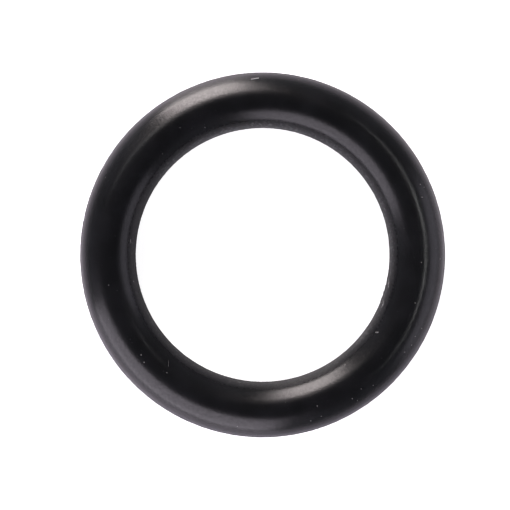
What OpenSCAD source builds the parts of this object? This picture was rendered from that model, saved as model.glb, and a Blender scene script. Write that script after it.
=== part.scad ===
// Rubber O-ring: a round cord moulded in one piece as a closed circle, lying flat.
// The origin is the centre of the ring, +Z is its axis, and all sizes are in millimetres.
// The two halves of the mould meet on the plane z = 0. Where they meet, a thin line of trimmed
// flash stands out of the round section: one outside the ring and one inside it. The tops of
// both lines are straight along the axis, so they are true cylinders, and the ring seats on them.

/* [Ring] */
// Inside diameter of the ring, not counting the mould line
inside_d = 14; // [6:0.1:80]
// Diameter of the round section
section_d = 3; // [1.5:0.05:5.7]

/* [Mould line] */
// Width of both mould lines, along the axis
line_w = 0.1; // [0.05:0.01:0.3]
// Height of the outer mould line above the round section
outer_line_h = 0.03; // [0.01:0.01:0.2]
// Height of the inner mould line above the round section
inner_line_h = 0.03; // [0.01:0.01:0.2]

/* [Hidden] */
$fn = 180;
rubber_black = [0.11, 0.11, 0.12];
section_r = section_d / 2;
// From the ring's axis to the centre of its section
centreline_r = inside_d / 2 + section_r;
// How deep both mould lines are rooted in the cord, so that each is one solid with it
line_root = section_r / 2;

// One mould line in section, from its root in the cord out to its flat top along +X
module mould_line(height) {
    translate([section_r - line_root, -line_w / 2])
        square([line_root + height, line_w]);
}

// The moulded section about its own centre, with the outside of the ring towards +X
module section() {
    circle(r = section_r);
    mould_line(outer_line_h);
    rotate(180)
        mould_line(inner_line_h);
}

// The section turned once around the axis
module o_ring() {
    color(rubber_black)
        rotate_extrude()
            translate([centreline_r, 0])
                section();
}

o_ring();
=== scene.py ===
# Looks of the rubber O-ring: its moulded skin, the mould line with what is left of the flash,
# and the dust on it. Lengths are in metres and angles in degrees, in the ring's own frame, except
# where a docstring says millimetres or radians.
import logging
import math
from dataclasses import dataclass
from enum import Enum
from typing import Any, Iterable, Sequence, Union

import bpy
from mathutils import Matrix, Vector


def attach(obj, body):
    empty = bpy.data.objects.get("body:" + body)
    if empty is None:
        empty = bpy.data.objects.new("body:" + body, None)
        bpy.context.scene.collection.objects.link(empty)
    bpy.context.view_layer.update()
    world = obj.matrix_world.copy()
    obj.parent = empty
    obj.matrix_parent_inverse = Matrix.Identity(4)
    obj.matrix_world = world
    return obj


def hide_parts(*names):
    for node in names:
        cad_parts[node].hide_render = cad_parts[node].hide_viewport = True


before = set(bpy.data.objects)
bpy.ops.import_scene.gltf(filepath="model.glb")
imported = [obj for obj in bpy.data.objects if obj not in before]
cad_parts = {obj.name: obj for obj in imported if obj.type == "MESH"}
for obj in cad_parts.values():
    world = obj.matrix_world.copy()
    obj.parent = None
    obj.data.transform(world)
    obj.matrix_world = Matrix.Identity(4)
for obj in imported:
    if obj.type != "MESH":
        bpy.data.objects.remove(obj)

log = logging.getLogger("o_ring")

MM = 0.001
CAMERA_AWAY = 140 * MM
NOISE_MIDDLE = 0.5
# How far apart noise is read for the ring's inner and outer side.
SIDES_APART = 3.0
Number = Union[float, "Term"]
Colour = tuple[float, float, float]
Wires = dict[Union[str, int], Any]
Socket = bpy.types.NodeSocket


class Node(Enum):
    """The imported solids."""

    RING = "o_ring"


class Slot(Enum):
    """The record's material slots."""

    RUBBER = "rubber"


class Body(Enum):
    """The bodies that pieces ride on."""

    ROOT = "root"


class Stored(Enum):
    """Values that the ring's mesh keeps for its finish."""

    LINE = "mould_line"
    FLASH = "flash"
    INNER = "inner_side"
    TRIM = "trimmed_band"
    # The trimmed band's frosting, which also holds painted light and shade by angle round the ring.
    FROST_AND_LIGHT = "frosting_and_painted_light"


class Kept(Enum):
    """Values that points keep for the grain or the fibre that is put on them."""

    TURNED = "turned"
    GROWN = "grown"
    HALF_WIDTH = "half_width"


class Pattern(Enum):
    """The seeds that keep the rubber's noise patterns apart."""

    PATCHES = 0.0
    MOTTLE = 3.0
    GRAIN = 7.0
    CRUMBS = 9.0


@dataclass(frozen=True)
class Term:
    """A number in a node tree. Plain arithmetic on it adds Math nodes to the tree."""

    tree: "Tree"
    socket: Socket

    def __add__(self, other: Number) -> "Term":
        """This number plus another."""
        return self.tree.math("ADD", self, other)

    def __radd__(self, other: Number) -> "Term":
        """Another number plus this one."""
        return self.tree.math("ADD", other, self)

    def __sub__(self, other: Number) -> "Term":
        """This number less another."""
        return self.tree.math("SUBTRACT", self, other)

    def __rsub__(self, other: Number) -> "Term":
        """Another number less this one."""
        return self.tree.math("SUBTRACT", other, self)

    def __mul__(self, other: Number) -> "Term":
        """This number times another."""
        return self.tree.math("MULTIPLY", self, other)

    def __pow__(self, other: Number) -> "Term":
        """This number to a power."""
        return self.tree.math("POWER", self, other)


@dataclass
class Tree:
    """A node tree of geometry or of a shader, with short calls for what is used often."""

    nodes: bpy.types.Nodes
    links: bpy.types.NodeLinks

    def node(self, kind: str, wires: Wires | None = None, **settings: Any) -> Any:
        """Adds a node.

        Args:
            kind: Blender's name of the node's type.
            wires: what goes into each input, by its name or number: a value, a socket or a Term.
            settings: the node's own properties.

        Returns:
            The node.
        """
        made = self.nodes.new(kind)
        for name, value in settings.items():
            setattr(made, name, value)
        for name, value in (wires or {}).items():
            self.feed(made.inputs[name], value)
        return made

    def feed(self, target: Socket, value: Any) -> None:
        """Gives an input its value.

        Args:
            target: the input socket.
            value: a plain value, which is set, or a socket or a Term, which is linked.
        """
        if isinstance(value, Term):
            value = value.socket
        if isinstance(value, Socket):
            self.links.new(value, target)
        else:
            target.default_value = value

    def term(self, socket: Socket) -> Term:
        """A socket as a number to work with."""
        return Term(self, socket)

    def math(self, operation: str, *values: Number) -> Term:
        """Adds a Math node.

        Args:
            operation: Blender's name of the operation.
            values: the numbers that go in, in order.

        Returns:
            The result.
        """
        made = self.node("ShaderNodeMath", dict(enumerate(values)), operation=operation)
        return self.term(made.outputs[0])

    def ramp(self, value: Number, start: Number, end: Number) -> Term:
        """A smooth step.

        Args:
            value: the number to judge.
            start: where the step is still 0.
            end: where the step has reached 1.

        Returns:
            A number from 0 to 1.
        """
        wires = {"Value": value, "From Min": start, "From Max": end}
        made = self.node("ShaderNodeMapRange", wires, interpolation_type="SMOOTHSTEP")
        return self.term(made.outputs["Result"])

    def noise(self, place: Any, size: float, detail: float, seed: Number) -> Term:
        """Soft random patches.

        Args:
            place: the vector at which the noise is read.
            size: the patches' width, in metres where the place is in metres.
            detail: how many finer layers are added.
            seed: picks one pattern out of many.

        Returns:
            A number round NOISE_MIDDLE.
        """
        wires = {"Vector": place, "W": seed, "Scale": 1 / size, "Detail": detail}
        made = self.node("ShaderNodeTexNoise", wires, noise_dimensions="4D")
        return self.term(made.outputs[0])


class GeometryTree(Tree):
    """A Geometry Nodes tree with named inputs, which makes one plain mesh."""

    def __init__(self, name: str) -> None:
        """An empty tree.

        Args:
            name: the tree's name.
        """
        self.group = bpy.data.node_groups.new(name, "GeometryNodeTree")
        super().__init__(self.group.nodes, self.group.links)
        for way in ("INPUT", "OUTPUT"):
            self.group.interface.new_socket("Geometry", in_out=way, socket_type="NodeSocketGeometry")
        self.values: dict[str, Any] = {}
        self.entry = self.nodes.new("NodeGroupInput")

    def geometry(self) -> Socket:
        """The geometry that comes in."""
        return self.entry.outputs["Geometry"]

    def given(self, name: str, value: Union[int, float]) -> Term:
        """Adds a named input.

        Args:
            name: the input's name.
            value: its value here, whole for a count.

        Returns:
            The input as a number.
        """
        kind = "NodeSocketInt" if isinstance(value, int) else "NodeSocketFloat"
        self.group.interface.new_socket(name, in_out="INPUT", socket_type=kind)
        self.values[name] = value
        return self.term(self.entry.outputs[name])

    def kept(self, value: Kept, data_type: str) -> Socket:
        """Reads a value that the incoming points keep.

        Args:
            value: which one.
            data_type: Blender's name of its type.

        Returns:
            The value.
        """
        wires = {"Name": value.value}
        return self.node("GeometryNodeInputNamedAttribute", wires, data_type=data_type).outputs[0]

    def store(self, geometry: Socket, name: Stored, value: Term) -> Socket:
        """Stores a value on the mesh's points for the finish to read.

        Args:
            geometry: the mesh.
            name: which value it is.
            value: the value at each point.

        Returns:
            The mesh with the value on it.
        """
        wires = {"Geometry": geometry, "Name": name.value, "Value": value}
        made = self.node("GeometryNodeStoreNamedAttribute", wires, data_type="FLOAT", domain="POINT")
        return made.outputs[0]

    def end(self, geometry: Socket, finish: bpy.types.Material) -> None:
        """Closes the tree: instances become real and take the finish.

        Args:
            geometry: what the tree has made.
            finish: its material.
        """
        real = self.node("GeometryNodeRealizeInstances", {"Geometry": geometry}).outputs[0]
        dressed = self.node("GeometryNodeSetMaterial", {"Geometry": real, "Material": finish})
        self.node("NodeGroupOutput", {"Geometry": dressed.outputs[0]})

    def make(self, name: str, start: bpy.types.Mesh | None = None) -> bpy.types.Object:
        """Runs the tree once and keeps its result as a plain mesh.

        Args:
            name: the piece's name.
            start: the mesh that goes in, or None for an empty one.

        Returns:
            The piece, at the origin and with no modifier.
        """
        piece = bpy.data.objects.new(name, start or bpy.data.meshes.new(name))
        bpy.context.scene.collection.objects.link(piece)
        modifier = piece.modifiers.new(name, "NODES")
        modifier.node_group = self.group
        for item in self.group.interface.items_tree:
            if item.in_out == "INPUT" and item.name in self.values:
                modifier[item.identifier] = self.values[item.name]
        bpy.context.view_layer.update()
        evaluated = piece.evaluated_get(bpy.context.evaluated_depsgraph_get())
        mesh = bpy.data.meshes.new_from_object(evaluated)
        mesh.name = name
        piece.modifiers.clear()
        piece.data = mesh
        return piece


class ShaderTree(Tree):
    """The nodes of a material or of the world."""

    def place(self) -> Socket:
        """The point's place on the object, in metres."""
        return self.node("ShaderNodeTexCoord").outputs["Object"]

    def stored(self, value: Stored) -> Term:
        """A value that the mesh keeps."""
        return self.term(self.node("ShaderNodeAttribute", attribute_name=value.value).outputs["Fac"])

    def ray(self, kind: str) -> Term:
        """1 for rays of one kind, by Blender's name of it, and 0 for the rest."""
        return self.term(self.node("ShaderNodeLightPath").outputs[kind])

    def seen(self) -> Term:
        """1 for what the camera sees straight, and 0 for the rest."""
        return self.ray("Is Camera Ray")

    def mirrored(self) -> Term:
        """1 for what is seen in a shiny surface or through a clear one, and 0 for the rest."""
        return self.math("MAXIMUM", self.ray("Is Glossy Ray"), self.ray("Is Transmission Ray"))

    def colour(self, share: Term, low: Any, high: Any) -> Socket:
        """Goes from one colour to another.

        Args:
            share: 0 for the low colour and 1 for the high one.
            low: linear red, green and blue, or a colour socket.
            high: linear red, green and blue, or a colour socket.

        Returns:
            The colour.
        """
        mix = self.node("ShaderNodeMix", data_type="RGBA")
        self.feed(mix.inputs[0], share)
        for socket, value in ((mix.inputs[6], low), (mix.inputs[7], high)):
            self.feed(socket, (*value, 1.0) if isinstance(value, tuple) else value)
        return mix.outputs[2]


class MaterialTree(ShaderTree):
    """A material made of nodes."""

    def __init__(self, name: str) -> None:
        """A material with no nodes yet.

        Args:
            name: the material's name.
        """
        self.material = bpy.data.materials.new(name)
        self.material.use_nodes = True
        super().__init__(self.material.node_tree.nodes, self.material.node_tree.links)
        self.nodes.clear()

    def close(self, wires: Wires) -> bpy.types.Material:
        """Closes the tree with its surface.

        Args:
            wires: what goes into the surface's inputs.

        Returns:
            The material.
        """
        surface = self.node("ShaderNodeBsdfPrincipled", wires)
        self.node("ShaderNodeOutputMaterial", {"Surface": surface.outputs[0]})
        return self.material


@dataclass(frozen=True)
class RubberFinish:
    """Black moulded rubber: a dark satin skin with a fine grain, torn and greyer on its mould line.

    The skin has a little bloom in wide patches, and its gloss and grain vary more finely. The band
    that was trimmed inside the bore is paler where it is frosted, with scuffs where the crumbs are
    highest, and rougher all over. Its frosting also holds painted light and shade: the band is
    painted paler at some angles round the ring and darker at others. What is left of the flash is
    frayed.
    """

    deep: Colour = (0.0056, 0.0060, 0.0068)
    bloom: Colour = (0.0085, 0.0090, 0.0105)
    torn: Colour = (0.030, 0.030, 0.032)
    trimmed: Colour = (0.105, 0.110, 0.109)
    scuff: Colour = (0.213, 0.222, 0.221)
    frayed: Colour = (0.40, 0.40, 0.41)
    patch_size: float = 1.6 * MM
    patch_detail: float = 3.0
    fine_detail: float = 2.0
    bloom_from: float = 0.35
    bloom_full: float = 0.70
    trimmed_falloff: float = 3.0
    scuff_least: float = 0.2
    scuff_from: float = 0.52
    scuff_full: float = 0.72
    scuff_mottle: float = 0.5
    scuff_patches: float = 0.4
    roughness: float = 0.22
    roughness_spread: float = 0.08
    torn_roughness: float = 0.50
    mottle_size: float = 0.12 * MM
    gloss: float = 0.5
    gloss_spread: float = 0.55
    trim_gloss: float = 0.10
    ior: float = 1.5
    inner_ior_drop: float = 0.06
    grain_size: float = 0.085 * MM
    grain_depth: float = 0.0065 * MM
    crumb_size: float = 0.15 * MM
    crumb_depth: float = 0.016 * MM

    def material(self) -> bpy.types.Material:
        """Builds the finish.

        Returns:
            The material, which reads the values that the ring's mesh keeps.
        """
        tree = MaterialTree("black_rubber")
        place = tree.place()
        patches = tree.noise(place, self.patch_size, self.patch_detail, Pattern.PATCHES.value)
        mottle = tree.noise(place, self.mottle_size, self.fine_detail, Pattern.MOTTLE.value)
        crumbs = tree.noise(place, self.crumb_size, self.fine_detail, Pattern.CRUMBS.value)
        grain = tree.noise(place, self.grain_size, self.fine_detail, Pattern.GRAIN.value)
        trim = tree.stored(Stored.TRIM)
        relief = grain * self.grain_depth + crumbs * trim * self.crumb_depth
        bump = tree.node("ShaderNodeBump", {"Height": relief, "Strength": 1.0, "Distance": 1.0})
        gloss = (mottle - NOISE_MIDDLE) * self.gloss_spread + trim * self.trim_gloss + self.gloss
        return tree.close({
            "Base Color": self._colour(tree, patches, mottle, crumbs),
            "Roughness": self._roughness(tree, patches, mottle),
            "Specular IOR Level": gloss,
            "IOR": self.ior - tree.stored(Stored.INNER) * self.inner_ior_drop,
            "Normal": bump.outputs["Normal"],
        })

    def _colour(self, tree: ShaderTree, patches: Term, mottle: Term, crumbs: Term) -> Socket:
        """The skin's colour, that of its worn places, and the painted light and shade on its trimmed
        band.

        Args:
            tree: the tree to add to.
            patches: the wide pattern.
            mottle: the fine pattern.
            crumbs: the pattern of the trimmed band's crumbs.

        Returns:
            The colour.
        """
        trim = tree.stored(Stored.TRIM)
        frost_and_painted_light = tree.stored(Stored.FROST_AND_LIGHT)
        fine = (mottle - NOISE_MIDDLE) * self.scuff_mottle
        wide = (patches - NOISE_MIDDLE) * self.scuff_patches
        scuffs = tree.ramp(crumbs + fine + wide, self.scuff_from, self.scuff_full)
        bloomed = tree.ramp(patches, self.bloom_from, self.bloom_full)
        colour = tree.colour(bloomed, self.deep, self.bloom)
        colour = tree.colour(tree.stored(Stored.LINE), colour, self.torn)
        # The trimmed band's paleness: its frosting holds painted light and shade as well as real frost.
        colour = tree.colour(trim**self.trimmed_falloff * frost_and_painted_light, colour, self.trimmed)
        colour = tree.colour(trim * trim * (frost_and_painted_light + self.scuff_least) * scuffs, colour, self.scuff)
        return tree.colour(tree.stored(Stored.FLASH), colour, self.frayed)

    def _roughness(self, tree: ShaderTree, patches: Term, mottle: Term) -> Term:
        """The skin's roughness, and that of its torn and trimmed places.

        Args:
            tree: the tree to add to.
            patches: the wide pattern.
            mottle: the fine pattern.

        Returns:
            The roughness.
        """
        varied = (mottle - NOISE_MIDDLE) + (patches - NOISE_MIDDLE)
        worn = tree.math("MAXIMUM", tree.stored(Stored.LINE), tree.stored(Stored.TRIM))
        rougher = worn * (self.torn_roughness - self.roughness)
        return varied * self.roughness_spread + rougher + self.roughness


@dataclass(frozen=True)
class DustFinish:
    """Pale dry dust and lint, uneven in colour."""

    name: str
    dark: Colour
    pale: Colour
    patch_size: float = 0.04 * MM
    patch_detail: float = 2.0
    pale_from: float = 0.35
    pale_full: float = 0.65
    roughness: float = 0.9

    def material(self) -> bpy.types.Material:
        """Builds the finish.

        Returns:
            The material.
        """
        tree = MaterialTree(self.name)
        patches = tree.noise(tree.place(), self.patch_size, self.patch_detail, Pattern.PATCHES.value)
        share = tree.ramp(patches, self.pale_from, self.pale_full)
        colour = tree.colour(share, self.dark, self.pale)
        return tree.close({"Base Color": colour, "Roughness": self.roughness})


@dataclass(frozen=True)
class RingSizes:
    """The ring's sizes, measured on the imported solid."""

    section_r: float
    inner_top_r: float
    outer_top_r: float
    line_w: float

    @classmethod
    def measured(cls, node: Node) -> "RingSizes":
        """Measures a packed ring that lies flat round the Z axis.

        Args:
            node: the ring's solid.

        Returns:
            Its sizes.
        """
        points = [vertex.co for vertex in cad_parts[node.value].data.vertices]
        radii = [math.hypot(point.x, point.y) for point in points]
        outer_top_r = max(radii)
        slack = 0.001 * MM
        on_top = [point.z for point, radius in zip(points, radii) if radius > outer_top_r - slack]
        return cls(
            section_r=max(point.z for point in points),
            inner_top_r=min(radii),
            outer_top_r=outer_top_r,
            line_w=max(on_top) - min(on_top),
        )

    @property
    def centreline_r(self) -> float:
        """From the ring's axis to the middle of its section."""
        return (self.inner_top_r + self.outer_top_r) / 2

    @property
    def line_h(self) -> float:
        """How far the mould line stands out of the round section."""
        return self.outer_top_r - self.centreline_r - self.section_r


@dataclass(frozen=True)
class Sweep:
    """The plain swept ring, and where each of its points lies.

    Attributes:
        mesh: the swept mesh.
        turn: the angle round the ring, in radians.
        out: from the middle of the section outwards.
        up: from the middle of the section upwards.
        side: 1 outside the middle of the section and -1 inside it.
        way: where noise is read, so that it changes along the ring but not across its section.
    """

    mesh: Socket
    turn: Term
    out: Term
    up: Term
    side: Term
    way: Socket

    @classmethod
    def of(
        cls, tree: GeometryTree, around: Term, across: Term, radii: tuple[Term, Term], crowding: float
    ) -> "Sweep":
        """Sweeps a round section round the ring.

        Args:
            tree: the tree to add to.
            around: how many steps it has round the ring.
            across: how many steps its section has.
            radii: the centreline's and the section's.
            crowding: how much closer the points are at the section's sides, by the mould line.

        Returns:
            The swept ring.
        """
        centreline_r, section_r = radii
        path, turn = cls._circle(tree, around, centreline_r)
        profile, swing = cls._circle(tree, across, section_r)
        swept = tree.node("GeometryNodeCurveToMesh", {"Curve": path, "Profile Curve": profile})
        outward = tree.node("GeometryNodeFlipFaces", {"Mesh": swept.outputs[0]})
        crowded = swing - tree.math("SINE", swing * 2.0) * (crowding / 2)
        out = tree.math("COSINE", crowded) * section_r
        side = tree.math("SIGN", out)
        way = {
            "X": tree.math("COSINE", turn),
            "Y": tree.math("SINE", turn),
            "Z": side * SIDES_APART,
        }
        return cls(
            mesh=outward.outputs[0],
            turn=turn,
            out=out,
            up=tree.math("SINE", crowded) * section_r,
            side=side,
            way=tree.node("ShaderNodeCombineXYZ", way).outputs[0],
        )

    @staticmethod
    def _circle(tree: GeometryTree, steps: Term, radius: Term) -> tuple[Socket, Term]:
        """A circle whose points know their own angle.

        Args:
            tree: the tree to add to.
            steps: how many points it has.
            radius: its radius.

        Returns:
            The curve, and the angle in radians, which the swept mesh keeps.
        """
        sizes = {"Resolution": steps, "Radius": radius}
        points = {"Geometry": tree.node("GeometryNodeCurvePrimitiveCircle", sizes).outputs[0]}
        share = tree.term(tree.node("GeometryNodeSplineParameter").outputs["Factor"])
        capture = tree.node("GeometryNodeCaptureAttribute", points, domain="POINT")
        capture.capture_items.new("FLOAT", "angle")
        tree.feed(capture.inputs["angle"], share * math.tau)
        return capture.outputs["Geometry"], tree.term(capture.outputs["angle"])


@dataclass(frozen=True)
class Waves:
    """Unevenness along the mould line.

    Attributes:
        length: how long its waves are.
        detail: how many finer layers it has.
        seed: what is added to the ring's seed.
    """

    length: float
    detail: float
    seed: float


@dataclass(frozen=True)
class PaintedLightChange:
    """A stretch of the trimmed band that is more frosted than the rest, or less.

    Attributes:
        middle: degrees round the ring.
        half_width: in degrees too.
        change: what is added to the frosting in its middle, painted light above 0 and painted shade
            below it.
    """

    middle: float
    half_width: float
    change: float


@dataclass
class MouldedRing:
    """The ring's body: a round section, the mould line inside and outside, and torn flash.

    The mould line wavers along the ring and has nicks. Between two angles, the inner one still has
    bits of torn flash on it. A foot and a top are shares of the half width, and the ends of the
    inner side and of the trimmed band are shares of the section's radius.
    """

    sizes: RingSizes
    finish: RubberFinish
    steps_around: int = 1000
    steps_across: int = 94
    crowding: float = 0.8
    line_foot: float = 1.35
    line_top: float = 0.85
    line_least: float = 0.3
    waver: Waves = Waves(0.35 * MM, 3.0, 0.0)
    waver_share: float = 0.6
    nicks: Waves = Waves(0.09 * MM, 1.0, 2.0)
    nick_share: float = 0.8
    tears: Waves = Waves(0.16 * MM, 2.0, 4.0)
    tear_h: float = 0.04 * MM
    tear_half_w: float = 0.03 * MM
    tear_foot: float = 1.3
    tear_top: float = 0.6
    tear_noise: tuple[float, float] = (0.42, 0.72)
    tear_from: float = 335.0
    tear_to: float = 352.0
    tear_fades: float = 4.0
    inner_from: float = 0.1
    inner_full: float = -0.5
    trim_from: float = 0.85
    trim_full: float = 0.12
    # The trimmed band's own frosting all round. The changes below add painted light and shade to it.
    frost_and_painted_light: float = 0.32
    # Painted light at 105 and 40 degrees and painted shade at 206 degrees, where the band's reflections
    # are brighter and dimmer.
    painted_light_changes: tuple[PaintedLightChange, ...] = (
        PaintedLightChange(206.0, 65.0, -0.22),
        PaintedLightChange(105.0, 42.0, 0.6),
        PaintedLightChange(40.0, 50.0, 0.2),
    )
    seed: int = 5

    def build(self) -> bpy.types.Object:
        """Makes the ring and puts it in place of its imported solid.

        Returns:
            The ring's body.
        """
        piece = self._tree().make("ring_body")
        piece.data.shade_smooth()
        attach(piece, Body.ROOT.value)
        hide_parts(Node.RING.value)
        return piece

    def _tree(self) -> GeometryTree:
        """Sweeps the section round the ring and shapes its mould line.

        Returns:
            The tree.
        """
        tree = GeometryTree("moulded_ring")
        centreline_r = tree.given("Centreline radius", self.sizes.centreline_r)
        section_r = tree.given("Section radius", self.sizes.section_r)
        around = tree.given("Steps around", self.steps_around)
        across = tree.given("Steps across", self.steps_across)
        seed = tree.given("Seed", float(self.seed))
        sweep = Sweep.of(tree, around, across, (centreline_r, section_r), self.crowding)

        inside = tree.math("LESS_THAN", sweep.side, 0.0)
        off_line = tree.math("ABSOLUTE", sweep.up)
        line, lift = self._line(tree, sweep, off_line, seed)
        torn = self._tears(tree, sweep, off_line, inside, seed)
        reach = sweep.out + sweep.side * (lift + torn * self.tear_h) + centreline_r
        place = {
            "X": reach * tree.math("COSINE", sweep.turn),
            "Y": reach * tree.math("SINE", sweep.turn),
            "Z": sweep.up,
        }
        placed = tree.node("ShaderNodeCombineXYZ", place).outputs[0]
        moved = {"Geometry": sweep.mesh, "Position": placed}
        shaped = tree.node("GeometryNodeSetPosition", moved).outputs[0]

        unit = 1 / self.sizes.section_r
        values = {
            Stored.LINE: line,
            Stored.FLASH: torn,
            Stored.INNER: tree.ramp(sweep.out * unit, self.inner_from, self.inner_full),
            Stored.TRIM: tree.ramp(off_line * unit, self.trim_from, self.trim_full) * inside,
            Stored.FROST_AND_LIGHT: self._frosting_and_painted_light(tree, sweep.turn),
        }
        for name, value in values.items():
            shaped = tree.store(shaped, name, value)
        tree.end(shaped, self.finish.material())
        return tree

    def _line(self, tree: GeometryTree, sweep: Sweep, off_line: Term, seed: Term) -> tuple[Term, Term]:
        """The mould line, which wavers and is nicked.

        Args:
            tree: the tree to add to.
            sweep: the swept ring.
            off_line: the distance from the middle of the line.
            seed: the ring's seed.

        Returns:
            How much a point belongs to the line, from 0 to 1, and how far it stands out.
        """
        line_h = tree.given("Mould line height", self.sizes.line_h)
        half_w = tree.given("Mould line half width", self.sizes.line_w / 2)
        waver = self._uneven(tree, sweep, self.waver, seed) * self.waver_share
        nicks = self._uneven(tree, sweep, self.nicks, seed) * self.nick_share
        line = tree.ramp(off_line, half_w * self.line_foot, half_w * self.line_top)
        return line, line * line_h * (waver + nicks + self.line_least)

    def _uneven(self, tree: GeometryTree, sweep: Sweep, waves: Waves, seed: Term) -> Term:
        """Unevenness along the ring, as a number round NOISE_MIDDLE."""
        length = waves.length / self.sizes.centreline_r
        return tree.noise(sweep.way, length, waves.detail, seed + waves.seed)

    def _tears(self, tree: GeometryTree, sweep: Sweep, off_line: Term, inside: Term, seed: Term) -> Term:
        """The torn flash on a stretch of the inner mould line.

        Args:
            tree: the tree to add to.
            sweep: the swept ring.
            off_line: the distance from the middle of the line.
            inside: 1 inside the middle of the section and 0 outside it.
            seed: the ring's seed.

        Returns:
            How much a point belongs to the flash, from 0 to 1.
        """
        starts = math.radians(self.tear_from)
        stops = math.radians(self.tear_to)
        fades = math.radians(self.tear_fades)
        grows = tree.ramp(sweep.turn, starts, starts + fades)
        shrinks = tree.ramp(sweep.turn, stops, stops - fades)
        fin = tree.ramp(off_line, self.tear_half_w * self.tear_foot, self.tear_half_w * self.tear_top)
        tears = tree.ramp(self._uneven(tree, sweep, self.tears, seed), *self.tear_noise)
        return fin * (grows * shrinks) * inside * tears

    def _frosting_and_painted_light(self, tree: GeometryTree, turn: Term) -> Term:
        """How strongly the trimmed band is frosted, with painted light and shade added by angle round
        the ring.

        Args:
            tree: the tree to add to.
            turn: the angle round the ring, in radians.

        Returns:
            A number from 0 to 1.
        """
        changes = []
        for part in self.painted_light_changes:
            nearness = tree.math("COSINE", turn - math.radians(part.middle))
            share = tree.ramp(nearness, math.cos(math.radians(part.half_width)), 1.0)
            changes.append(share * part.change)
        return sum(changes, start=self.frost_and_painted_light)


@dataclass(frozen=True)
class View:
    """Where the photograph's camera sees the ring's surface."""

    centreline_r: float
    camera_away: float = CAMERA_AWAY

    def swing(self, across: float) -> float:
        """Turns a place across the seen ring into an angle round the section.

        Args:
            across: 0 on the outer outline and 1 on the inner one.

        Returns:
            The angle in radians, from 0 at the outside of the ring over its top.
        """
        lean = math.atan2(self.centreline_r, self.camera_away)
        return math.pi / 2 + lean - math.asin(1 - 2 * across)


@dataclass(frozen=True)
class Speck:
    """A grain of dust, or a bit of torn flash, that lies on the ring.

    Attributes:
        azimuth: degrees round the ring.
        across: 0 on the seen outer outline and 1 on the inner one.
        length: its length in millimetres.
        width: its width in millimetres.
        heading: degrees from the ring's own direction.
    """

    azimuth: float
    across: float
    length: float
    width: float
    heading: float = 0.0


@dataclass(frozen=True)
class Strand:
    """A short fibre that lies on the ring from one place to another.

    Attributes:
        azimuths: degrees round the ring at its two ends.
        acrosses: its ends' places across, 0 on the seen outer outline and 1 on the inner one.
        width: its width in millimetres.
        bow: how many degrees its middle lies farther round.
        tip: the share of its width that doesn't taper.
        blunt: how much of the taper is cut off at each tip, as a share of a wave's half turn.
    """

    azimuths: tuple[float, float]
    acrosses: tuple[float, float]
    width: float
    bow: float
    tip: float = 0.5
    blunt: float = 0.15

    def place(self, share: float) -> tuple[float, float]:
        """A place along the fibre.

        Args:
            share: 0 at one end and 1 at the other.

        Returns:
            Its azimuth, and its place across.
        """
        azimuth, last_azimuth = self.azimuths
        across, last_across = self.acrosses
        bowed = azimuth + (last_azimuth - azimuth) * share + self.bow * math.sin(math.pi * share)
        return bowed, across + (last_across - across) * share

    def half_width(self, share: float) -> float:
        """Half the fibre's width at a place along it.

        Args:
            share: 0 at one end and 1 at the other.

        Returns:
            The half width in metres.
        """
        fullness = math.sin(math.pi * (self.blunt + (1 - 2 * self.blunt) * share))
        return self.width / 2 * MM * (self.tip + (1 - self.tip) * fullness)


# The grains that the photograph shows one by one.
SPECKS = (
    Speck(78.4, 0.06, 0.05, 0.04),
    Speck(60.6, 0.955, 0.09, 0.05),
    Speck(94.3, 0.91, 0.12, 0.06),
    Speck(114.3, 0.77, 0.04, 0.035),
    Speck(123.0, 0.55, 0.03, 0.025),
    Speck(152.4, 0.10, 0.04, 0.04),
    Speck(153.8, 0.13, 0.04, 0.04),
    Speck(174.1, 0.90, 0.25, 0.06, 12.0),
    Speck(19.9, 0.23, 0.13, 0.035, 65.0),
    Speck(22.7, 0.13, 0.06, 0.05),
    Speck(24.1, 0.17, 0.06, 0.05),
    Speck(20.6, 0.94, 0.06, 0.05),
    Speck(191.1, 0.46, 0.045, 0.04),
    Speck(191.6, 0.915, 0.08, 0.06),
    Speck(219.5, 0.45, 0.075, 0.06),
    Speck(222.2, 0.405, 0.06, 0.05),
    Speck(230.9, 0.55, 0.06, 0.038, 40.0),
    Speck(261.6, 0.16, 0.055, 0.042),
    Speck(286.2, 0.17, 0.06, 0.05),
    Speck(289.9, 0.39, 0.07, 0.055),
    Speck(290.0, 0.19, 0.05, 0.045),
    Speck(302.0, 0.23, 0.06, 0.05),
    Speck(303.0, 0.15, 0.035, 0.035),
    Speck(306.4, 0.285, 0.06, 0.05),
    Speck(310.3, 0.20, 0.052, 0.045),
    Speck(306.9, 0.815, 0.07, 0.05),
    Speck(325.6, 0.18, 0.07, 0.06),
    Speck(328.8, 0.145, 0.07, 0.05),
    Speck(331.9, 0.165, 0.06, 0.05),
    Speck(335.2, 0.125, 0.06, 0.05),
    Speck(325.9, 0.80, 0.22, 0.075, -60.0),
    Speck(342.5, 0.40, 0.065, 0.05),
    Speck(357.3, 0.42, 0.06, 0.045),
    Speck(358.7, 0.08, 0.06, 0.05),
)

# The pale bits of flash at the inner edge.
TATTERS = (
    Speck(336.4, 0.950, 0.15, 0.06, 12.0),
    Speck(337.6, 0.945, 0.20, 0.09, 8.0),
    Speck(338.8, 0.955, 0.14, 0.06, 15.0),
    Speck(345.8, 0.950, 0.14, 0.05, -14.0),
    Speck(347.3, 0.962, 0.24, 0.07, -10.0),
    Speck(349.3, 0.975, 0.22, 0.06, -6.0),
)

FIBRES = (
    Strand((93.8, 91.2), (0.118, 0.100), 0.055, 0.2),
)

HAIRS = (
    Strand((228.3, 229.9), (0.738, 0.650), 0.010, 0.1),
)

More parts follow.
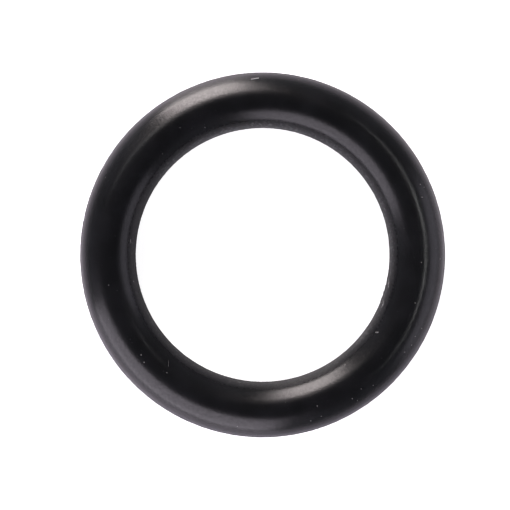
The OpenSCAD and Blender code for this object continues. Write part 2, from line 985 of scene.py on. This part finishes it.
PALE_DUST = DustFinish("pale_dust", (0.10, 0.10, 0.10), (0.26, 0.26, 0.26))
PALE_LINT = DustFinish("pale_lint", (0.45, 0.45, 0.45), (0.8, 0.8, 0.8))
FRAYED_RUBBER = DustFinish("frayed_rubber", (0.06, 0.06, 0.06), (0.42, 0.42, 0.43))


@dataclass
class Dust:
    """The dust that the photograph shows on the ring, and a little too fine to single out."""

    sizes: RingSizes
    view: View
    grain_h: float = 0.4
    lump: float = 0.35
    lump_size: float = 1.3
    fibre_steps: int = 14
    fibre_sides: int = 8
    fibre_rise: float = 0.7
    fine_count: int = 400
    fine_r: float = 0.005 * MM
    fine_least: float = 0.4
    fine_spread: float = 1.6
    seed: int = 11

    def build(self, ring: bpy.types.Object) -> list[bpy.types.Object]:
        """Makes the dust's pieces.

        Args:
            ring: the ring's body, which the fine dust lies on.

        Returns:
            The single grains, the torn bits of flash, the fibre, the hair and the fine dust.
        """
        grains = PALE_DUST.material()
        torn = FRAYED_RUBBER.material()
        lint = PALE_LINT.material()
        made = [
            self._specks_tree("single_grains", grains).make("dust_grains", self._speck_points(SPECKS)),
            self._specks_tree("torn_bits", torn).make("flash_tatters", self._speck_points(TATTERS)),
            self._strands_tree("fibres", lint).make("dust_fibres", self._strand_lines(FIBRES)),
            self._strands_tree("hairs", grains).make("dust_hairs", self._strand_lines(HAIRS)),
            self._fine_tree(grains).make("dust_fine", ring.data.copy()),
        ]
        for piece in made:
            piece.data.shade_smooth()
            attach(piece, Body.ROOT.value)
        return made

    def _on_ring(self, azimuth: float, across: float, off: float = 0.0) -> tuple[Vector, Vector]:
        """A place on the ring's skin.

        Args:
            azimuth: degrees round the ring.
            across: 0 on the seen outer outline and 1 on the inner one.
            off: how far above the skin.

        Returns:
            The place and the skin's outward direction there.
        """
        swing = self.view.swing(across)
        turn = math.radians(azimuth)
        outward = Vector((math.cos(turn), math.sin(turn), 0))
        normal = outward * math.cos(swing) + Vector((0, 0, math.sin(swing)))
        return outward * self.sizes.centreline_r + normal * (self.sizes.section_r + off), normal

    def _speck_points(self, specks: Sequence[Speck]) -> bpy.types.Mesh:
        """Marks where the grains lie.

        Args:
            specks: the grains.

        Returns:
            One point for each grain, which keeps how the grain is turned and how large it is.
        """
        mesh = bpy.data.meshes.new("speck_points")
        places = [self._on_ring(speck.azimuth, speck.across) for speck in specks]
        mesh.from_pydata([tuple(place) for place, _ in places], [], [])
        turned = mesh.attributes.new(Kept.TURNED.value, "FLOAT_VECTOR", "POINT")
        grown = mesh.attributes.new(Kept.GROWN.value, "FLOAT_VECTOR", "POINT")
        for index, (speck, (_, normal)) in enumerate(zip(specks, places)):
            turn = math.radians(speck.azimuth)
            along = Vector((-math.sin(turn), math.cos(turn), 0))
            axes = Matrix((along, normal.cross(along), normal)).transposed()
            spin = Matrix.Rotation(math.radians(speck.heading), 3, "Z")
            turned.data[index].vector = (axes @ spin).to_euler()
            half = Vector((speck.length / 2, speck.width / 2, speck.width * self.grain_h)) * MM
            grown.data[index].vector = half
        return mesh

    def _specks_tree(self, name: str, finish: bpy.types.Material) -> GeometryTree:
        """Puts a lumpy grain on each point.

        Args:
            name: the tree's name.
            finish: the grains' material.

        Returns:
            The tree.
        """
        tree = GeometryTree(name)
        lump = tree.given("Lumpiness", self.lump)
        grain = tree.node("GeometryNodeMeshIcoSphere", {"Radius": 1.0, "Subdivisions": 3})
        place = tree.node("GeometryNodeInputPosition").outputs[0]
        lumps = tree.noise(place, self.lump_size, detail=1.0, seed=self.seed)
        swell = (lumps - NOISE_MIDDLE) * lump + 1.0
        swollen = tree.node("ShaderNodeVectorMath", {0: place, "Scale": swell}, operation="SCALE")
        lumpy = {"Geometry": grain.outputs[0], "Position": swollen.outputs[0]}
        wires = {
            "Points": tree.geometry(),
            "Instance": tree.node("GeometryNodeSetPosition", lumpy).outputs[0],
            "Rotation": tree.kept(Kept.TURNED, "FLOAT_VECTOR"),
            "Scale": tree.kept(Kept.GROWN, "FLOAT_VECTOR"),
        }
        tree.end(tree.node("GeometryNodeInstanceOnPoints", wires).outputs[0], finish)
        return tree

    def _strand_lines(self, strands: Sequence[Strand]) -> bpy.types.Mesh:
        """Marks where the fibres lie.

        Args:
            strands: the fibres.

        Returns:
            A bent line of points for each fibre, which keep its half width.
        """
        mesh = bpy.data.meshes.new("strand_lines")
        places: list[tuple[float, ...]] = []
        edges: list[tuple[int, int]] = []
        widths: list[float] = []
        for strand in strands:
            rise = strand.width / 2 * MM * self.fibre_rise
            for step in range(self.fibre_steps + 1):
                share = step / self.fibre_steps
                place, _ = self._on_ring(*strand.place(share), rise)
                places.append(tuple(place))
                widths.append(strand.half_width(share))
                if step:
                    edges.append((len(places) - 2, len(places) - 1))
        mesh.from_pydata(places, edges, [])
        half_width = mesh.attributes.new(Kept.HALF_WIDTH.value, "FLOAT", "POINT")
        half_width.data.foreach_set("value", widths)
        return mesh

    def _strands_tree(self, name: str, finish: bpy.types.Material) -> GeometryTree:
        """Gives each line a round section.

        Args:
            name: the tree's name.
            finish: the fibres' material.

        Returns:
            The tree.
        """
        tree = GeometryTree(name)
        sides = tree.given("Sides", self.fibre_sides)
        lines = tree.node("GeometryNodeMeshToCurve", {"Mesh": tree.geometry()})
        section = tree.node("GeometryNodeCurvePrimitiveCircle", {"Resolution": sides, "Radius": 1.0})
        wires = {
            "Curve": lines.outputs[0],
            "Profile Curve": section.outputs[0],
            "Scale": tree.kept(Kept.HALF_WIDTH, "FLOAT"),
            "Fill Caps": True,
        }
        tree.end(tree.node("GeometryNodeCurveToMesh", wires).outputs[0], finish)
        return tree

    def _fine_tree(self, finish: bpy.types.Material) -> GeometryTree:
        """Strews fine dust over the ring's upper side.

        Args:
            finish: the dust's material.

        Returns:
            The tree.
        """
        tree = GeometryTree("fine_dust")
        count = tree.given("Count", self.fine_count)
        radius = tree.given("Radius", self.fine_r)
        seed = tree.given("Seed", self.seed)
        normal = tree.node("GeometryNodeInputNormal").outputs[0]
        rise = tree.term(tree.node("ShaderNodeSeparateXYZ", {0: normal}).outputs["Z"])
        area = 2 * math.pi**2 * self.sizes.centreline_r * self.sizes.section_r
        strewn = {
            "Mesh": tree.geometry(),
            "Selection": tree.math("GREATER_THAN", rise, 0.0),
            "Density": count * (1 / area),
            "Seed": seed,
        }
        drawn = tree.node("FunctionNodeRandomValue", {"Seed": seed}, data_type="FLOAT")
        share = tree.term(drawn.outputs[1])
        grain = tree.node("GeometryNodeMeshIcoSphere", {"Radius": radius, "Subdivisions": 1})
        wires = {
            "Points": tree.node("GeometryNodeDistributePointsOnFaces", strewn).outputs[0],
            "Instance": grain.outputs[0],
            "Scale": share * share * share * self.fine_spread + self.fine_least,
        }
        tree.end(tree.node("GeometryNodeInstanceOnPoints", wires).outputs[0], finish)
        return tree


def area_lamp(
    name: str, width: float, height: float, radiance: float, place: Matrix
) -> bpy.types.Object:
    """Makes a rectangular lamp that the camera doesn't see.

    Args:
        name: the lamp's name.
        width: its width.
        height: its height.
        radiance: how bright its face is.
        place: where it stands and which way it faces.

    Returns:
        The lamp.
    """
    data = bpy.data.lights.new(name, "AREA")
    data.shape = "RECTANGLE"
    data.size = width
    data.size_y = height
    data.energy = math.pi * radiance * width * height
    lamp = bpy.data.objects.new(name, data)
    lamp.matrix_world = place
    lamp.visible_camera = False
    bpy.context.scene.collection.objects.link(lamp)
    return lamp


@dataclass(frozen=True)
class Panel:
    """A rectangular lamp that stands upright and faces the ring's axis.

    Attributes:
        name: the lamp's name.
        towards: degrees round the ring.
        away: from the ring's axis.
        low: its lower edge, over the middle of the ring.
        high: its upper edge, over the middle of the ring.
        width: its width.
        radiance: how bright its face is.
        colour: its colour.
    """

    name: str
    towards: float
    away: float
    low: float
    high: float
    width: float
    radiance: float
    colour: Colour

    def build(self) -> bpy.types.Object:
        """Makes the lamp.

        Returns:
            The lamp.
        """
        quarter = math.radians(90)
        turn = Matrix.Rotation(math.radians(self.towards), 4, "Z")
        shift = Matrix.Translation((self.away, 0, (self.low + self.high) / 2))
        face_axis = Matrix.Rotation(quarter, 4, "Y") @ Matrix.Rotation(quarter, 4, "Z")
        place = turn @ shift @ face_axis
        lamp = area_lamp(self.name, self.width, self.high - self.low, self.radiance, place)
        lamp.data.color = self.colour
        return lamp


@dataclass(frozen=True)
class Gap:
    """A short stretch of a narrow bright gap overhead, which lights one place on the ring.

    Attributes:
        towards: degrees round the ring.
        polar: degrees between its light and the ring's axis.
        start_r: from the ring's axis to the place it lights, less than 0 on the far side.
        radiance: how bright its face is.
        away: from that place.
        width: its width.
        sweep: how many degrees it spans round the ring.
        cone: how many degrees its light spreads.
    """

    towards: float
    polar: float
    start_r: float
    radiance: float
    away: float = 90 * MM
    width: float = 2.2 * MM
    sweep: float = 16.0
    cone: float = 14.0

    def build(self) -> bpy.types.Object:
        """Makes the lamp.

        Returns:
            The lamp.
        """
        polar = math.radians(self.polar)
        leaning = Vector((math.sin(polar), 0, math.cos(polar)))
        place = Vector((self.start_r, 0, 0)) + leaning * self.away
        length = 2 * place.x * math.tan(math.radians(self.sweep / 2))
        facing = Matrix.Translation(place) @ Matrix.Rotation(polar, 4, "Y")
        turn = Matrix.Rotation(math.radians(self.towards), 4, "Z")
        lamp = area_lamp("bright_gap", self.width, length, self.radiance, turn @ facing)
        lamp.data.spread = math.radians(self.cone)
        return lamp


KEY_COLOUR = (1.0, 0.91, 0.90)
LEFT_COLOUR = (0.97, 0.89, 1.0)
RIGHT_COLOUR = (0.92, 0.865, 1.0)

# The three lamps whose reflections the photograph shows, each in three strips.
PANELS = (
    Panel("key_panel", 109.7, 400 * MM, 100 * MM, 438 * MM, 191 * MM, 10.8, KEY_COLOUR),
    Panel("key_foot", 111.5, 400 * MM, 4 * MM, 100 * MM, 196 * MM, 10.0, KEY_COLOUR),
    Panel("key_halo", 110.5, 400 * MM, 438 * MM, 700 * MM, 240 * MM, 1.5, KEY_COLOUR),
    Panel("left_panel", 236.5, 56 * MM, 13 * MM, 67 * MM, 91 * MM, 2.55, LEFT_COLOUR),
    Panel("left_top", 236.5, 56 * MM, 67 * MM, 95 * MM, 91 * MM, 0.4, LEFT_COLOUR),
    Panel("left_foot", 235.5, 56 * MM, -0.2 * MM, 13 * MM, 87 * MM, 3.1, LEFT_COLOUR),
    Panel("right_panel", -5.5, 300 * MM, 70 * MM, 211 * MM, 335 * MM, 0.90, RIGHT_COLOUR),
    Panel("right_foot", -5.5, 300 * MM, 3 * MM, 70 * MM, 335 * MM, 0.98, RIGHT_COLOUR),
    Panel("right_top", -3.5, 300 * MM, 211 * MM, 318 * MM, 320 * MM, 0.14, RIGHT_COLOUR),
)

# The bright gap beside the camera, whose reflection is a fine line that fades at both ends.
OUTER_SIDE_R = 9.3 * MM
INNER_SIDE_R = -7.8 * MM
GAPS = (
    Gap(-34.0, 34.4, OUTER_SIDE_R, 0.034),
    Gap(-18.0, 33.8, OUTER_SIDE_R, 0.075),
    Gap(-2.0, 33.3, OUTER_SIDE_R, 0.10),
    Gap(14.0, 32.3, OUTER_SIDE_R, 0.12),
    Gap(30.0, 33.2, OUTER_SIDE_R, 0.085),
    Gap(46.0, 36.2, OUTER_SIDE_R, 0.03),
    Gap(37.5, 38.4, INNER_SIDE_R, 0.045, sweep=11.0),
    Gap(131.0, 35.5, OUTER_SIDE_R, 0.018, width=7 * MM),
    Gap(146.0, 38.0, OUTER_SIDE_R, 0.011, width=7 * MM),
)


@dataclass
class Studio:
    """The white table, the dark room with its lamps, and the camera over the ring.

    The table is darker inside the bore, a painted shade where the ring's walls keep light off it, and
    darker far from the ring than close beside it. The room goes from the wall's colour to the
    ceiling's by the sine of the angle over the horizon.
    """

    table_z: float
    table_size: float = 1.2
    # Painted shade: the table is darker inside the bore, where the ring's walls keep light off it.
    bore_painted_shade: float = 0.45
    bore_shade_ends: tuple[float, float] = (7 * MM, 9 * MM)
    near_tone: float = 0.8
    far_tone: float = 0.3
    near_ends: tuple[float, float] = (14 * MM, 24 * MM)
    table_tint: Colour = (1.0, 0.96, 1.06)
    table_roughness: float = 0.2
    white: float = 1.0
    near_white: float = 0.94
    gloss_white: float = 0.13
    wall: Colour = (0.18, 0.18, 0.20)
    wall_ends: tuple[float, float] = (0.2, 0.85)
    ceiling: Colour = (0.04, 0.04, 0.044)
    camera_away: float = CAMERA_AWAY
    sensor_mm: float = 36.0
    focal_px: float = 2546.0
    image_px: float = 510.0
    ring_right_px: float = 7.6
    ring_up_px: float = 0.1

    def build(self) -> None:
        """Sets the table, the room, the lamps and the camera."""
        self._table()
        self._room()
        for lamp in (*PANELS, *GAPS):
            lamp.build()
        self._camera()
        bpy.context.scene.view_settings.view_transform = "Standard"

    def _table(self) -> None:
        """A white table under the ring, which still takes its shadow."""
        half = self.table_size / 2
        corners = [(-half, -half), (half, -half), (half, half), (-half, half)]
        mesh = bpy.data.meshes.new("table")
        mesh.from_pydata([(x, y, self.table_z) for x, y in corners], [], [(0, 1, 2, 3)])
        mesh.materials.append(self._table_finish())
        table = bpy.data.objects.new("table", mesh)
        bpy.context.scene.collection.objects.link(table)

    def _table_finish(self) -> bpy.types.Material:
        """White to the camera and in reflections, pale and shadowed to other light.

        Returns:
            The material.
        """
        tree = MaterialTree("white_table")
        length = tree.node("ShaderNodeVectorMath", {0: tree.place()}, operation="LENGTH")
        away = tree.term(length.outputs["Value"])
        far = tree.ramp(away, *self.near_ends)
        seen = (self.near_white + far * (self.white - self.near_white)) * tree.seen()
        # Painted shade inside the bore.
        near_with_bore_shade = tree.ramp(away, *self.bore_shade_ends) * (self.near_tone - self.bore_painted_shade) + self.bore_painted_shade
        tone = near_with_bore_shade + far * (self.far_tone - self.near_tone)
        tint = {index: tone * share for index, share in enumerate(self.table_tint)}
        return tree.close({
            "Base Color": tree.node("ShaderNodeCombineColor", tint).outputs[0],
            "Roughness": self.table_roughness,
            "Emission Color": (1.0, 1.0, 1.0, 1.0),
            "Emission Strength": tree.math("MAXIMUM", seen, tree.mirrored() * self.gloss_white),
        })

    def _room(self) -> None:
        """A room with pale-grey walls and a dark ceiling, which the camera sees as white."""
        world = bpy.data.worlds.new("dark_room")
        bpy.context.scene.world = world
        world.use_nodes = True
        tree = ShaderTree(world.node_tree.nodes, world.node_tree.links)
        tree.nodes.clear()
        way = tree.node("ShaderNodeTexCoord").outputs["Generated"]
        height = tree.term(tree.node("ShaderNodeSeparateXYZ", {0: way}).outputs["Z"])
        colour = tree.colour(tree.ramp(height, *self.wall_ends), self.wall, self.ceiling)
        room = tree.node("ShaderNodeBackground", {"Color": colour, "Strength": 1.0})
        white = tree.node("ShaderNodeBackground", {"Strength": self.white})
        below = tree.math("LESS_THAN", height, 0.0)
        seen = tree.math("MAXIMUM", tree.seen(), tree.mirrored() * below)
        both = tree.node("ShaderNodeMixShader", {0: seen, 1: room.outputs[0], 2: white.outputs[0]})
        tree.node("ShaderNodeOutputWorld", {"Surface": both.outputs[0]})

    def _camera(self) -> None:
        """The camera over the ring, at the photograph's viewing angle."""
        data = bpy.data.cameras.new("camera")
        data.sensor_width = self.sensor_mm
        data.lens = self.sensor_mm * self.focal_px / self.image_px
        data.clip_start = 1 * MM
        data.shift_x = -self.ring_right_px / self.image_px
        data.shift_y = -self.ring_up_px / self.image_px
        camera = bpy.data.objects.new("camera", data)
        camera.location = (0, 0, self.camera_away)
        bpy.context.scene.collection.objects.link(camera)
        bpy.context.scene.camera = camera


def main() -> None:
    """Builds the ring's pieces and the studio in order."""
    logging.basicConfig(level=logging.INFO, format="%(message)s")
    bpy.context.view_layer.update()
    sizes = RingSizes.measured(Node.RING)
    log.info("centreline %.3f mm, section %.3f mm", sizes.centreline_r / MM, sizes.section_r / MM)
    log.info("mould line %.3f x %.3f mm", sizes.line_w / MM, sizes.line_h / MM)
    ring = MouldedRing(sizes, RubberFinish()).build()
    log.info("%s: %d faces", ring.name, len(ring.data.polygons))
    for piece in Dust(sizes, View(sizes.centreline_r)).build(ring):
        log.info("%s: %d faces", piece.name, len(piece.data.polygons))
    Studio(table_z=-sizes.section_r).build()


if __name__ == "__main__":
    main()
